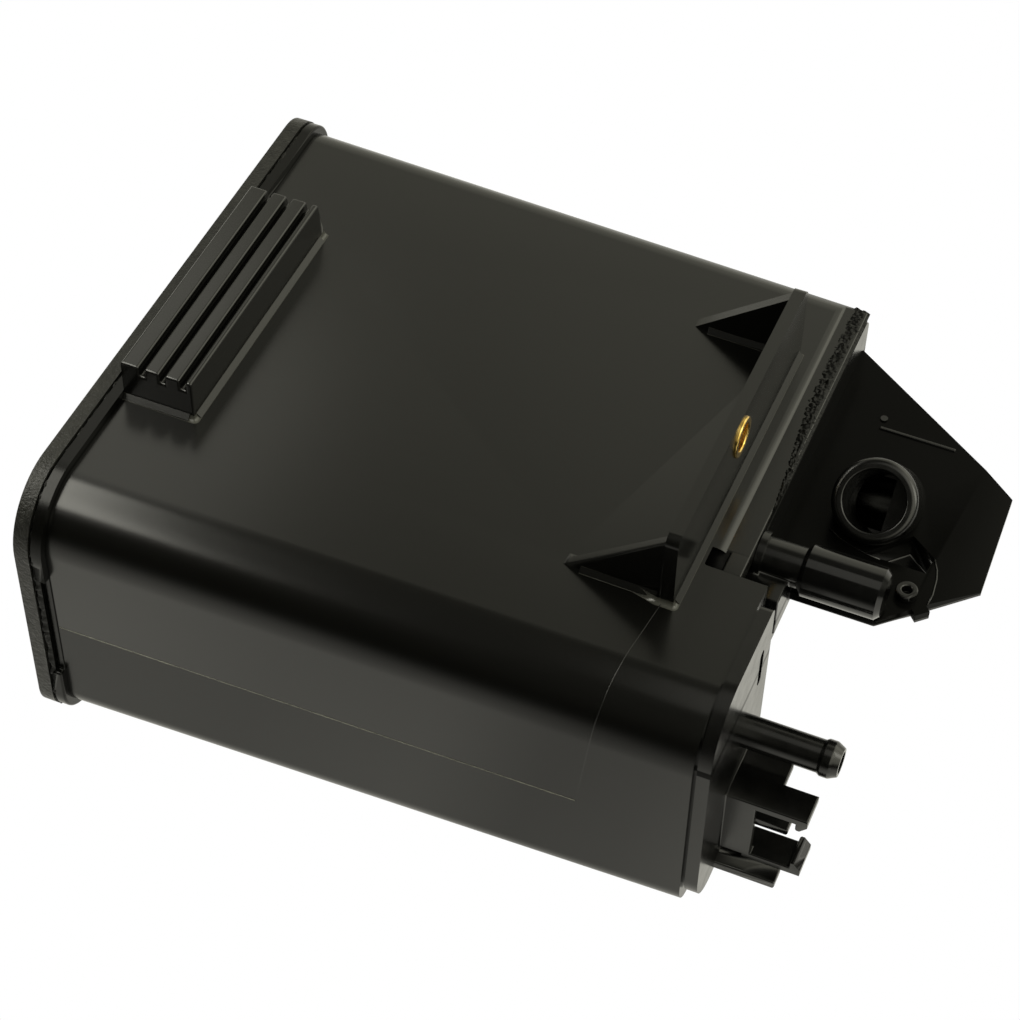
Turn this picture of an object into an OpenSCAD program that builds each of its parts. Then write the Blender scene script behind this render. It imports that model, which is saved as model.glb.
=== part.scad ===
// Fuel vapour canister: a moulded housing with two chambers of activated carbon,
// closed by a welded end cover and two welded port caps.
// X runs from the cover to the ports, the purge chamber is at the front (-Y), and the rail is on top.

/* [Housing] */
// Length from the cover face to the purge end
body_l = 200; // [180:1:230]
// Width of the housing at its open end
body_w = 181.5; // [165:0.5:200]
// Height of the housing at its open end
body_h = 89; // [80:1:105]
// Draft of the moulded walls in degrees
draft = 1.1; // [0.5:0.1:1.5]
// Thickness of the housing walls
wall = 3; // [2:0.25:4]
// How much the wall is thinned where the cover's skirt sits
seat_step = 0.4; // [0.2:0.1:0.8]
// Radius of the long upper front edge
front_r = 18.5; // [12:0.5:24]
// Radius of the other long edges
edge_r = 10; // [7:0.5:14]
// Width of the purge part, from the front face to the step
purge_w = 59.5; // [52:0.5:66]
// How far the vent end is set back from the purge end
vent_setback = 13; // [8:0.5:20]
// Radius of the top edge at the vent end
vent_edge_r = 4; // [2:0.5:6]
// Width of the small pocket beside the step
pocket_w = 7; // [4:0.5:10]
// Length of the small pocket beside the step
pocket_l = 5.5; // [3:0.5:8]
// Depth of the small pocket beside the step
pocket_depth = 2.2; // [1:0.1:2.5]
// Width of the land that carries each port cap
port_land = 10; // [7:0.5:14]

/* [Weld rims] */
// How far the rims stand proud of the housing
lip = 2.8; // [2:0.1:4]
// Thickness of the cover rim
cover_rim_t = 4.6; // [3:0.1:6]
// Width of the weld groove between the two rims
groove_w = 0.8; // [0.5:0.1:1.5]
// Depth of the weld groove
groove_depth = 1.4; // [0.8:0.1:2]
// Thickness of the housing rim
rim_t = 3.2; // [2.5:0.1:5]
// Step from the cover rim down to the housing rim
rim_step = 0.3; // [0:0.1:1]
// Depth of the notch in the front of the housing rim
notch_depth = 2.2; // [1:0.1:2.4]
// Length of the notch in the front of the housing rim
notch_l = 40.5; // [25:0.5:45]
// Height of the notch's lower end above the resting plane
notch_z = 23.5; // [20:0.5:28]

/* [End cover] */
// Depth of the panel recess on the outside
panel_depth = 2.4; // [1.5:0.1:3]
// Width of the band round the recess
panel_band = 9; // [6:0.5:14]
// Thickness of the stiffening ribs
cover_rib_t = 2.4; // [1.5:0.1:4]
// Number of upright stiffening ribs
cover_ribs = 5; // [2:1:8]
// Length of the locating skirt inside the housing
skirt_l = 4; // [2:0.5:6]
// Thickness of the locating skirt
skirt_t = 2; // [1.5:0.1:3]

/* [Rail] */
// Distance from the vent end back to the rail
rail_setback = 8; // [6:0.1:20]
// Thickness of the rail wall
rail_t = 3.75; // [3:0.25:6]
// Height of the rail above the housing
rail_h = 25.6; // [18:0.1:32]
// Length of the rail across the housing
rail_w = 106; // [80:1:125]
// Offset of the rail's middle from the housing's middle
rail_offset = 4.4; // [-5:0.1:12]
// Radius of the rail's upper corners
rail_corner_r = 3; // [1:0.5:6]
// Length of the gussets along the housing
gusset_l = 28; // [18:0.5:40]
// Thickness of the gussets
gusset_t = 3.4; // [2.5:0.1:6]
// Distance of the bush axis from the rail's top edge
bush_drop = 8.6; // [7.5:0.1:12]
// Distance of the bush axis from the housing's middle
bush_offset = 2.2; // [-10:0.1:20]

/* [Brass bush] */
// Outside diameter of the bush
bush_d = 12.4; // [10:0.1:14]
// Diameter of the bolt hole
bolt_d = 8.4; // [6:0.1:9]
// How far the bush stands out of the rail on each side
bush_proud = 0.7; // [0.2:0.1:1.5]

/* [Ribbed pad] */
// Length of the pad across the housing
pad_w = 86; // [70:1:110]
// Offset of the pad's middle from the housing's middle
pad_offset = 1.8; // [-10:0.1:10]
// Width of the pad along the housing
pad_l = 22.4; // [16:0.2:30]
// Height of the pad above the housing
pad_h = 13.6; // [9:0.1:18]
// Number of grooves in the pad
grooves = 3; // [2:1:4]
// Width of each groove
pad_groove_w = 1.8; // [1:0.1:2.5]
// Depth of each groove
pad_groove_depth = 3.5; // [2:0.1:5]
// Width of the narrow last rib
last_rib = 2; // [1.5:0.1:4]
// Slant of the pad's back end
pad_slant = 4; // [0:0.5:8]
// Size of the fillets at the foot of the pad and of the rail
foot_fillet = 1.4; // [0.8:0.1:2.5]

/* [Purge cap] */
// Width of the cap across the housing
purge_cap_w = 47.2; // [40:0.1:56]
// How far the cap stands proud of the housing's top
purge_lip = 1.6; // [0.5:0.1:3]
// Inset of the cap from the housing's front and bottom
purge_inset = 1.2; // [0.5:0.1:2]
// Radius of the cap's lower front corner
purge_r = 13; // [8:0.5:16]
// Thickness of the cap's rim
purge_rim_t = 3.8; // [3:0.1:6]
// Outside diameter of the nipple
nipple_d = 9.6; // [8:0.1:12]
// Bore of the nipple
nipple_bore = 6.4; // [5:0.1:8]
// Length of the nipple
nipple_l = 27.5; // [20:0.5:32]
// Outside diameter of the nipple's bead
bead_d = 10.8; // [9:0.1:14]
// Length of the straight land on the bead
bead_land = 2.4; // [1.5:0.1:4]
// Length of the cone in front of the bead
bead_lead = 2.4; // [1.5:0.1:3.2]
// Length of the ramp behind the bead
bead_back = 0.9; // [0.5:0.1:2]
// Height of the nipple above the bottom of the cap
nipple_z = 43.4; // [36:0.1:56]
// Distance of the nipple from the inner side of the cap
nipple_in = 13.9; // [8:0.1:20]

// Length of the upright slot in the cap's face
slot_l = 14; // [8:0.5:20]
// Width of the upright slot in the cap's face
slot_w = 3; // [2:0.1:4]
// Depth of the upright slot in the cap's face
slot_depth = 1.5; // [0.8:0.1:2]
// Distance of the slot from the inner side of the cap
slot_in = 7.7; // [5:0.1:12]
// Distance of the slot's middle from the top of the cap
slot_drop = 17.6; // [13:0.1:22]

/* [Snap clip] */
// Width of the prongs
prong_w = 10; // [7:0.5:14]
// Thickness of the prongs
prong_t = 2.6; // [1.8:0.1:3.5]
// Length of the prongs
prong_l = 24; // [18:0.5:28]
// Free height between the prongs
clip_gap = 20.8; // [14:0.2:24]
// Height of the hooks at the prong ends
hook_h = 2.4; // [1.5:0.1:4]
// Length of the hooks along the prongs
hook_l = 3.4; // [2:0.1:5]
// Distance of the clip from the front side of the cap
clip_in = 18.5; // [14:0.5:24]
// Height of the lower prong above the bottom of the cap
clip_z = 6; // [5.8:0.1:12]
// Length of the wide root of the upper prong
root_l = 14; // [8:0.5:18]
// Extra width of the upper prong's root
root_w = 8; // [4:0.5:10]
// Length of the middle and bottom tabs
tab_l = 18; // [10:0.5:22]
// Width of the middle and bottom tabs
tab_w = 6; // [4:0.5:8]
// Length of the upright web that carries the prongs
web_l = 9; // [5:0.5:14]

/* [Vent cap] */
// Thickness of the vent cap's plate
vent_cap_t = 5.5; // [4:0.1:7]
// Inset of the vent cap from the housing's outline
vent_inset = 3.8; // [3:0.1:6]
// Distance of the vent cap's front edge from the step
vent_front = 9.2; // [8:0.1:10]
// Radius of the vent cap's corners
vent_r = 4; // [2:0.5:8]
// Radius of the vent cap's upper front corner, round the nozzle
vent_front_r = 12; // [8:0.5:14]
// Width of the weld bead round the vent cap
bead_w = 1.4; // [0.5:0.1:2]
// Thickness of the weld bead
bead_t = 2; // [1:0.1:3]
// Length of the bracket plate from the vent cap
bracket_l = 59.5; // [52:0.1:75]
// Thickness of the bracket plate
bracket_t = 3; // [2.5:0.1:5]
// Height of the bracket's top above the resting plane
bracket_z = 72.3; // [62:0.1:74]
// Distance of the bracket's front edge from the step
bracket_front = 13.2; // [10:0.1:18]
// Length of the bracket's straight front edge
bracket_nose = 35.5; // [28:0.5:42]
// Width of the bracket's outer edge
bracket_end_w = 37; // [30:0.5:50]
// How far the outer edge leans back towards its rear corner
bracket_lean = 1.5; // [0:0.1:3]
// How far the corner cut sets back the outer edge
bracket_cut = 23; // [15:0.5:28]
// Length of the sloping outer strip of the bracket
bracket_slope_l = 11.5; // [6:0.1:16]
// Drop of the bracket's top along the sloping strip
bracket_drop = 1.6; // [0.5:0.1:2]
// Thickness of the ribs under the bracket
bracket_rib_t = 3; // [2:0.1:5]
// Height of the ribs under the bracket
bracket_rib_h = 30; // [18:1:40]

/* [Vent port] */
// Bore of the vent port
vent_bore = 18; // [14:0.2:20]
// Outside diameter of the vent port
vent_d = 24.8; // [23.6:0.2:27]
// Radius of the port's rounded lip
vent_lip_r = 2; // [0.5:0.1:2.4]
// Tilt of the vent port towards the front in degrees
vent_tilt = 42; // [36:1:48]
// Distance of the port's mouth from the vent cap
vent_reach = 23.8; // [20:0.2:30]
// Height of the port's mouth above the bracket
vent_rise = 12; // [10:0.2:18]
// Distance of the port's mouth from the bracket's front edge
vent_in = 31.4; // [28:0.2:42]
// Length of the port's straight bore
vent_depth = 38; // [34:0.5:42]
// Bore of the duct that joins the port to the main chamber
duct_bore = 16; // [12:0.2:16.5]
// Outside diameter of the duct
duct_d = 23; // [20:0.2:24]

// Diameter of the small screw boss on the bracket
boss_d = 6.4; // [5:0.1:9]
// Distance of the screw boss from the vent cap
boss_reach = 40.7; // [38:0.1:42]
// Distance of the screw boss from the bracket's front edge
boss_in = 12.2; // [11:0.1:15]
// Height of the screw boss
boss_h = 2.6; // [1.5:0.1:4]
// Pilot hole of the screw boss
pilot_d = 2.8; // [2:0.1:3.5]
// Length of the pocket beside the port
recess_l = 19; // [12:0.5:21]
// Width of the pocket beside the port
recess_w = 12; // [8:0.5:14]
// Depth of the pocket beside the port
recess_depth = 8; // [5:0.5:12]
// Thickness of the pocket's walls below the bracket
recess_wall = 1.6; // [1:0.1:2.5]
// Width of the small tab on the bracket's cut corner
edge_tab_w = 4.4; // [3:0.1:6]
// How far the small tab stands out
edge_tab_out = 2.4; // [1:0.1:3]
// Distance of the small tab from the end of the front edge
edge_tab_at = 13.6; // [8:0.1:20]
// Height of the fine ridge and of the pip on the bracket
ridge_h = 0.5; // [0.3:0.1:1]
// Length of the fine ridge on the bracket
ridge_l = 23; // [15:0.5:28]
// Distance of the ridge and pip from the vent cap
ridge_reach = 14.5; // [10:0.5:18]
// Distance of the fine ridge from the bracket's front edge
ridge_in = 70; // [64:0.5:72]
// Diameter of the pip
pip_d = 2.2; // [1.5:0.1:3]

/* [Side nozzle] */
// Outside diameter of the nozzle
nozzle_d = 12; // [10:0.1:13]
// Bore of the nozzle
nozzle_bore = 7; // [5:0.1:8]
// Diameter of the collar at the nozzle's root
nozzle_root_d = 14.4; // [13.4:0.1:15]
// Length of the collar at the nozzle's root
nozzle_root_l = 2; // [1:0.1:4]
// Length of the upright wall beside the nozzle
nozzle_wall_l = 10.5; // [6:0.5:13]
// Distance of that wall from the step
nozzle_wall_in = 1.9; // [1:0.1:6]
// Length of the nozzle from the vent cap
nozzle_l = 35; // [28:0.5:42]
// Distance of the nozzle's axis from the bracket's front edge
nozzle_in = 3.2; // [2:0.1:6]
// Outside diameter of the rubber cap
sleeve_d = 15.2; // [14:0.1:17]
// Length of the rubber cap
sleeve_l = 24; // [18:0.5:30]
// Radius of the rubber cap's rim
sleeve_r = 1.4; // [0.5:0.1:2]

/* [Inside] */
// Clearance between loose inner pieces and the chamber walls
fit_gap = 0.3; // [0.2:0.05:0.4]
// Radius of the chamber corners beside the partition
inner_r = 2.5; // [1:0.25:4]
// Distance from the cover face to the pressure plates
plate_x = 20; // [17:0.5:26]
// Thickness of the pressure plates
plate_t = 3; // [2:0.25:5]
// Diameter of the holes in the pressure plates
plate_hole_d = 6; // [4:0.25:8]
// Spacing of the holes in the pressure plates and of the grid bars
hole_pitch = 12; // [10:0.5:16]
// Thickness of the fleece filters
filter_t = 5; // [3:0.25:7]
// Thickness of the support grids
grid_t = 5; // [4:0.25:7]
// Thickness of the grid bars
grid_bar = 3; // [2:0.25:4]
// Mean diameter of the springs
spring_d = 34; // [26:0.5:40]
// Wire diameter of the springs
wire_d = 1.8; // [1.2:0.1:2.4]
// Number of spring turns
spring_turns = 3.5; // [2.5:0.5:4]

/* [Hidden] */

$fn = 48;
eps = 0.01;
sink = 1;
arc_steps = 16;
least_r = 0.5;
recess_lean = 0.6;
hook_top = 0.6;
taper = tan(draft);

weld_x = cover_rim_t + groove_w;
vent_x = body_l - vent_setback;
vent_face_x = vent_x + vent_cap_t;
purge_face_x = body_l + groove_w + purge_rim_t;
total_l = vent_face_x + bracket_l;
step_y = purge_w - body_w / 2;

function half_w(x) = body_w / 2 - taper * x;
function floor_z(x) = lip + taper * x;
function roof_z(x) = lip + body_h - taper * x;

rail_x = vent_x - rail_setback - rail_t;
rail_top = roof_z(rail_x) + rail_h;
rail_y0 = rail_offset - rail_w / 2;
rail_y1 = rail_offset + rail_w / 2;
bush_z = rail_top - bush_drop;
pad_x = weld_x + rim_t;
pad_top = roof_z(pad_x) + pad_h;

bead_end = purge_face_x + nipple_l;
purge_y0 = purge_inset - half_w(body_l);
purge_y1 = purge_y0 + purge_cap_w;
purge_z0 = floor_z(body_l) + purge_inset;
purge_z1 = roof_z(body_l) + purge_lip;
nipple_y = purge_y1 - nipple_in;
nipple_axis_z = purge_z0 + nipple_z;
clip_y = purge_y0 + clip_in;
lower_z = purge_z0 + clip_z;
upper_z = lower_z + prong_t + clip_gap;

bracket_y = step_y + bracket_front;
nozzle_y = bracket_y + nozzle_in;
nozzle_z = bracket_z + sleeve_d / 2 + fit_gap;
vent_mouth = [vent_face_x + vent_reach, bracket_y + vent_in, bracket_z + vent_rise];
vent_dir = [0, -sin(vent_tilt), cos(vent_tilt)];
duct_y = vent_mouth[1] - vent_dir[1] * vent_depth;
duct_z = vent_mouth[2] - vent_dir[2] * vent_depth;

seat_x = weld_x + skirt_l;
seat_wall = wall - seat_step;
filter_x = plate_x + plate_t;
bed_x = filter_x + filter_t;
main_end_x = vent_x - wall;
purge_end_x = body_l - wall;
spring_z = lip + body_h / 2;
main_w = body_w / 2 - wall - step_y;
main_spring_y = [step_y + main_w / 4, step_y + main_w * 3 / 4];
purge_mid_y = (step_y - body_w / 2) / 2;

// Points of a quarter round in the cross section
function corner(cy, cz, r, start) = [
    for (i = [0:arc_steps])
        let (a = start + 90 * i / arc_steps)
        [cy + r * cos(a), cz + r * sin(a)]
];

// Cross section with four round corners, radii from lower front to upper front
function outline(y0, y1, z0, z1, r) = concat(
    corner(y0 + r[0], z0 + r[0], r[0], 180),
    corner(y1 - r[1], z0 + r[1], r[1], 270),
    corner(y1 - r[2], z1 - r[2], r[2], 0),
    corner(y0 + r[3], z1 - r[3], r[3], 90)
);

// Radii that follow an inset or an overhang
function follow(radii, grow) = [for (r = radii) max(r + grow, least_r)];

// Outside of the housing at a place along X
function body_outline(x, grow) = outline(
    -half_w(x) - grow, half_w(x) + grow, floor_z(x) - grow, roof_z(x) + grow,
    follow([edge_r, edge_r, edge_r, front_r], grow)
);

// Inside of the main chamber at a place along X
function main_outline(x, gap) = outline(
    step_y + gap, half_w(x) - wall - gap, floor_z(x) + wall + gap, roof_z(x) - wall - gap,
    follow([inner_r, edge_r - wall, edge_r - wall, inner_r], -gap)
);

// Inside of the purge chamber at a place along X
function purge_outline(x, gap) = outline(
    wall + gap - half_w(x), step_y - wall - gap, floor_z(x) + wall + gap, roof_z(x) - wall - gap,
    follow([edge_r - wall, inner_r, inner_r, front_r - wall], -gap)
);

// Outline of the vent cap, grown for its weld bead or shrunk for the opening behind it
function vent_outline(grow) = outline(
    step_y + vent_front - grow, half_w(vent_x) - vent_inset + grow,
    floor_z(vent_x) + vent_inset - grow, roof_z(vent_x) - vent_inset + grow,
    follow([vent_r, vent_r, vent_r, vent_front_r], grow)
);

// Outline of the purge cap
function purge_cap_outline(grow) = outline(
    purge_y0 - grow, purge_y1 + grow, purge_z0 - grow, purge_z1 + grow,
    follow([purge_r, inner_r, inner_r, front_r], grow)
);

// Spring wire: ring centres run round the axis, each ring stands across the wire
wire_sides = 8;
turn_steps = 14;
boss_r = spring_d / 2 * cos(180 / turn_steps) - wire_d / 2 - fit_gap;
coil_steps = turn_steps * spring_turns;
function coil_points(h) = [
    for (i = [0:coil_steps], j = [0:wire_sides - 1])
        let (
            a = 360 * i / turn_steps,
            b = 360 * j / wire_sides,
            r = spring_d / 2 + wire_d / 2 * cos(b),
            x = wire_d / 2 + (h - wire_d) * i / coil_steps + wire_d / 2 * sin(b)
        )
        [x, r * cos(a), r * sin(a)]
];
function coil_faces() = concat(
    [[for (j = [0:wire_sides - 1]) j]],
    [
        for (i = [0:coil_steps - 1], j = [0:wire_sides - 1])
            let (k = (j + 1) % wire_sides, p = i * wire_sides, q = p + wire_sides)
            [p + j, q + j, q + k, p + k]
    ],
    [[for (j = [wire_sides - 1:-1:0]) coil_steps * wire_sides + j]]
);

// Moves the whole canister so that the origin is at the middle of its foot
module place() {
    translate([-total_l / 2, 0, 0]) children();
}

// Flat slab across the canister, from one X to another
module slab(x0, x1, points) {
    translate([x0, 0, 0])
        rotate([90, 0, 90])
            linear_extrude(x1 - x0)
                polygon(points);
}

// Drafted solid between two cross sections
module drafted(x0, x1, points0, points1) {
    hull() {
        slab(x0, x0 + eps, points0);
        slab(x1 - eps, x1, points1);
    }
}

// Round bar along X
module bar_x(x0, x1, y, z, d) {
    translate([x0, y, z]) rotate([0, 90, 0]) cylinder(d = d, h = x1 - x0);
}

// Solid round bar along the vent port's axis, measured from its mouth
module vent_bar(d, from, to) {
    translate(vent_mouth)
        rotate([vent_tilt, 0, 0])
            translate([0, 0, -to])
                cylinder(d = d, h = to - from);
}

// Port with a rounded lip, turned about its axis
module vent_collar() {
    foot = -vent_depth - wall;
    r = vent_d / 2;
    translate(vent_mouth)
        rotate([vent_tilt, 0, 0])
            rotate_extrude()
                polygon(concat(
                    [[0, foot], [r, foot]],
                    corner(r - vent_lip_r, -vent_lip_r, vent_lip_r, 0),
                    [[0, 0]]
                ));
}

// Wall across the housing with rounded upper corners
module rail() {
    z0 = roof_z(rail_x) - sink;
    h = rail_top - z0;
    translate([rail_x, rail_y0, z0])
        rotate([90, 0, 90])
            linear_extrude(rail_t)
                union() {
                    square([rail_w, h - rail_corner_r]);
                    translate([rail_corner_r, 0]) square([rail_w - 2 * rail_corner_r, h]);
                    for (y = [rail_corner_r, rail_w - rail_corner_r])
                        translate([y, h - rail_corner_r]) circle(r = rail_corner_r);
                }
}

// Triangle that braces the rail towards the cover
module gusset(y) {
    tip = rail_x - gusset_l;
    translate([0, y + gusset_t, 0])
        rotate([90, 0, 0])
            linear_extrude(gusset_t)
                polygon([
                    [tip, roof_z(tip)], [tip, roof_z(tip) - sink], [rail_x + sink, roof_z(rail_x) - sink],
                    [rail_x + sink, rail_top - rail_corner_r], [rail_x, rail_top - rail_corner_r]
                ]);
    front_foot(tip + 3 * foot_fillet, gusset_l - 4 * foot_fillet, y);
}

// Raised mounting pad with grooves along its top and a slanted back end
module ribbed_pad() {
    y0 = pad_offset - pad_w / 2;
    y1 = pad_offset + pad_w / 2;
    z0 = roof_z(pad_x + pad_l) - sink;
    groove_pitch = (pad_l - last_rib - pad_groove_w / 2) / grooves;
    difference() {
        translate([pad_x - eps, 0, 0])
            rotate([90, 0, 90])
                linear_extrude(pad_l + eps)
                    polygon([[y0, z0], [y1, z0], [y1 - pad_slant, pad_top], [y0, pad_top]]);
        for (i = [1:grooves])
            translate([pad_x + i * groove_pitch - pad_groove_w / 2, y0 - 1, pad_top - pad_groove_depth])
                cube([pad_groove_w, pad_w + 2, pad_groove_depth + 1]);
    }
    foot(pad_x + pad_l, y0 + foot_fillet, y1 - pad_slant);
    front_foot(pad_x, pad_l - foot_fillet, y0);
}

// Triangular fillet between an upright wall and the top face, on the right (1) or left (-1) of the wall
module foot_profile(way) {
    polygon([
        [-way * eps, -sink], [way * foot_fillet, -sink], [way * foot_fillet, 0],
        [0, foot_fillet], [-way * eps, foot_fillet]
    ]);
}

// Fillet along the foot of a wall that runs across the housing
module foot(x, y0, y1) {
    translate([x, y1, roof_z(x)])
        rotate([90, 0, 0])
            linear_extrude(y1 - y0)
                foot_profile(1);
}

// Fillet along the front foot of a wall that runs along the housing
module front_foot(x, l, y) {
    translate([x, y, roof_z(x)])
        rotate([90, draft, 90])
            linear_extrude(l)
                foot_profile(-1);
}

// Round cut along the top edge of the vent end
module vent_edge_cut() {
    w = half_w(0) - step_y + 1;
    translate([vent_x - vent_edge_r, step_y, roof_z(vent_x) - vent_edge_r])
        difference() {
            cube([vent_edge_r + 1, w, vent_edge_r + 1]);
            translate([0, -1, 0]) rotate([-90, 0, 0]) cylinder(r = vent_edge_r, h = w + 2);
        }
}

// Moulded shell with both chambers, rail and pad
module housing() {
    color("#1d1d1b") place() difference() {
        union() {
            drafted(weld_x, body_l, body_outline(weld_x, 0), body_outline(body_l, 0));
            slab(weld_x, weld_x + rim_t, body_outline(weld_x, lip - rim_step));
            rail();
            foot(rail_x + rail_t, rail_y0 + foot_fillet, rail_y1 - foot_fillet);
            gusset(rail_y0 + gusset_t / 2);
            gusset(rail_y1 - gusset_t);
            ribbed_pad();
        }
        // step back to the vent end
        translate([vent_x, step_y, -1]) cube([body_l, body_w, body_h + 2 * lip + 2]);
        vent_edge_cut();
        translate([vent_x - pocket_l, step_y, roof_z(vent_x) - pocket_depth])
            cube([pocket_l + 1, pocket_w, body_h]);
        // notch in the front of the rim
        translate([weld_x - 1, -half_w(weld_x) - lip - 1, notch_z])
            cube([rim_t + 2, notch_depth + rim_step + 1, notch_l]);
        // chambers and the passage between them at the cover end
        drafted(seat_x, main_end_x, main_outline(seat_x, 0), main_outline(main_end_x, 0));
        drafted(seat_x, purge_end_x, purge_outline(seat_x, 0), purge_outline(purge_end_x, 0));
        drafted(
            weld_x - 1, plate_x - 1,
            body_outline(weld_x - 1, -seat_wall), body_outline(plate_x - 1, -seat_wall)
        );
        // openings behind the port caps
        slab(main_end_x - 1, vent_x + 1, vent_outline(-port_land));
        slab(purge_end_x - 1, body_l + 1, purge_cap_outline(-port_land));
        bar_x(main_end_x - 1, vent_x + 1, nozzle_y, nozzle_z, nozzle_bore);
        bar_x(rail_x - 1, rail_x + rail_t + 1, bush_offset, bush_z, bush_d);
    }
}

// Cover with its weld rim, recessed panel, ribs, skirt and spring seats
module end_cover() {
    color("#1a1a19") place() {
        difference() {
            union() {
                slab(0, cover_rim_t, body_outline(weld_x, lip));
                slab(cover_rim_t - eps, weld_x, body_outline(weld_x, lip - groove_depth));
            }
            slab(-1, panel_depth, body_outline(weld_x, lip - panel_band));
        }
        intersection() {
            slab(0, panel_depth + eps, body_outline(weld_x, lip - panel_band + eps));
            union() {
                for (i = [1:cover_ribs])
                    translate([0, body_w * (i / (cover_ribs + 1) - 0.5) - cover_rib_t / 2, 0])
                        cube([panel_depth + eps, cover_rib_t, body_h + 2 * lip]);
                translate([0, -body_w / 2, spring_z - cover_rib_t / 2])
                    cube([panel_depth + eps, body_w, cover_rib_t]);
            }
        }
        difference() {
            slab(weld_x - eps, seat_x, body_outline(seat_x, -seat_wall - fit_gap));
            slab(weld_x - 1, seat_x + 1, body_outline(seat_x, -seat_wall - fit_gap - skirt_t));
        }
        for (y = [main_spring_y[0], main_spring_y[1], purge_mid_y])
            bar_x(weld_x - eps, seat_x, y, spring_z, 2 * boss_r);
    }
}

// Nipple with a bead, turned about its axis
module nipple() {
    translate([purge_face_x - sink, nipple_y, nipple_axis_z])
        rotate([0, 90, 0])
            rotate_extrude()
                polygon([
                    [0, 0], [nipple_d / 2, 0],
                    [nipple_d / 2, sink + nipple_l - bead_land - bead_lead - bead_back],
                    [bead_d / 2, sink + nipple_l - bead_land - bead_lead],
                    [bead_d / 2, sink + nipple_l - bead_lead],
                    [bead_d / 2 - bead_lead / 2, sink + nipple_l],
                    [0, sink + nipple_l]
                ]);
}

// Prong with a hook on its end, hooking up (1) or down (-1), from its start along X
module prong(z, start, way) {
    translate([purge_face_x + start, clip_y, z]) cube([prong_l - start, prong_w, prong_t]);
    hook_z = way > 0 ? z + prong_t - eps : z + eps;
    translate([purge_face_x + prong_l, clip_y + prong_w, hook_z])
        rotate([90, 0, 0])
            linear_extrude(prong_w)
                polygon([[0, 0], [-hook_l, 0], [-hook_l, way * hook_h], [-hook_l * hook_top, way * hook_h]]);
}

// Clip with two facing prongs, two tabs and the web between them
module snap_clip() {
    prong(upper_z, -sink, -1);
    prong(lower_z, web_l - prong_t, 1);
    translate([purge_face_x - sink, clip_y, upper_z]) cube([root_l + sink, prong_w + root_w, prong_t]);
    translate([purge_face_x - sink, clip_y + prong_w - tab_w, (lower_z + upper_z) / 2])
        cube([tab_l + sink, tab_w, prong_t]);
    translate([purge_face_x - sink, clip_y - tab_w / 2, lower_z - 2 * prong_t])
        cube([tab_l + sink, tab_w, prong_t]);
    translate([purge_face_x - sink, clip_y, lower_z + prong_t / 2])
        cube([web_l + sink, prong_t, upper_z - lower_z]);
    translate([purge_face_x - sink, clip_y + prong_w - prong_t, lower_z - 2 * prong_t])
        cube([web_l + sink, prong_t, 3 * prong_t]);
}

// Cap of the purge chamber with nipple and clip
module purge_cap() {
    color("#1b1b1a") place() difference() {
        union() {
            slab(body_l, body_l + groove_w + eps, purge_cap_outline(-groove_depth));
            slab(body_l + groove_w, purge_face_x, purge_cap_outline(0));
            nipple();
            snap_clip();
        }
        bar_x(body_l - 1, bead_end + 1, nipple_y, nipple_axis_z, nipple_bore);
        slab(purge_face_x - slot_depth, purge_face_x + 1, outline(
            purge_y1 - slot_in - slot_w / 2, purge_y1 - slot_in + slot_w / 2,
            purge_z1 - slot_drop - slot_l / 2, purge_z1 - slot_drop + slot_l / 2,
            follow([0, 0, 0, 0], slot_w / 2 - eps)
        ));
    }
}

// Four-cornered pocket beside the port, grown for its walls
module recess(grow, h) {
    translate([vent_mouth[0] + sink, bracket_y + bracket_cut - sink, 0])
        linear_extrude(h)
            polygon([
                [-grow, -grow], [recess_l * recess_lean, recess_w + grow],
                [recess_l + grow, recess_w / 2 + grow], [recess_l + grow, -grow]
            ]);
}

// Five-cornered plate that reaches past the vent end, sloping at its outer edge
module bracket_plate() {
    x0 = vent_face_x - sink;
    x1 = vent_face_x + bracket_l;
    nose_x = vent_face_x + bracket_nose;
    back_y = half_w(vent_x) - vent_inset - vent_r / 2;
    difference() {
        union() {
            translate([0, 0, bracket_z - bracket_t])
                linear_extrude(bracket_t)
                    polygon([
                        [x0, bracket_y], [nose_x, bracket_y],
                        [x1, bracket_y + bracket_cut],
                        [x1 - bracket_lean, bracket_y + bracket_cut + bracket_end_w],
                        [vent_face_x, back_y], [x0, back_y]
                    ]);
            translate([nose_x, bracket_y, bracket_z - bracket_t])
                rotate([0, 0, atan2(bracket_cut, x1 - nose_x)])
                    translate([edge_tab_at - edge_tab_w / 2, -edge_tab_out, 0])
                        cube([edge_tab_w, edge_tab_out + sink, bracket_t]);
            translate([0, 0, bracket_z - recess_depth - recess_wall])
                recess(recess_wall, recess_depth + recess_wall - sink);
            translate([vent_face_x + ridge_reach, bracket_y + ridge_in, bracket_z - sink])
                cube([ridge_l, 2 * ridge_h, ridge_h + sink]);
            translate([vent_face_x + ridge_reach, bracket_y + ridge_in + 2 * pip_d, bracket_z - sink])
                cylinder(d = pip_d, h = ridge_h + sink);
        }
        translate([0, 0, bracket_z - recess_depth]) recess(0, recess_depth + sink);
        translate([x1 - bracket_slope_l, -body_w, bracket_z])
            rotate([0, atan2(bracket_drop, bracket_slope_l), 0])
                cube([2 * bracket_slope_l, 2 * body_w, bracket_t]);
    }
}

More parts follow.
